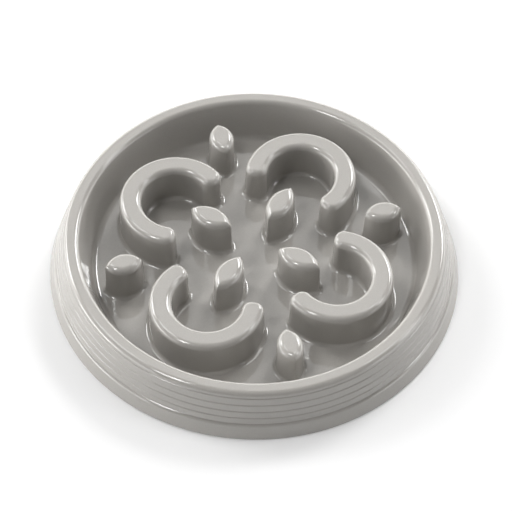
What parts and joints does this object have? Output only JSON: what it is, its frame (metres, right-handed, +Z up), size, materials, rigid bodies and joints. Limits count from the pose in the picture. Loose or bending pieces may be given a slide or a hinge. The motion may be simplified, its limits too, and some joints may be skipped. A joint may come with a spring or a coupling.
{
  "type": "slow feeder bowl",
  "caption": "Low round slow feeder bowl in warm grey gloss plastic, with C-shaped ridges, leaf-shaped posts and a terraced, flared skirt on rubber pads.",
  "frame": {"origin": "middle of the base, on the surface that the foot pads stand on", "axes": "+Z up, out of the open well; the posts by the wall lie on the X and Y axes, and the C-shaped ridges on the diagonals"},
  "size_m": [0.28, 0.28, 0.0363],
  "materials": {
    "shell": "gloss",
    "rubber": "matte"
  },
  "bodies": {
    "root": {"bowl_moulding": "shell", "foot_pad_1": "rubber", "foot_pad_2": "rubber", "foot_pad_3": "rubber", "foot_pad_4": "rubber", "foot_pad_5": "rubber", "foot_pad_6": "rubber", "foot_pad_7": "rubber", "foot_pad_8": "rubber"}
  },
  "joints": []
}
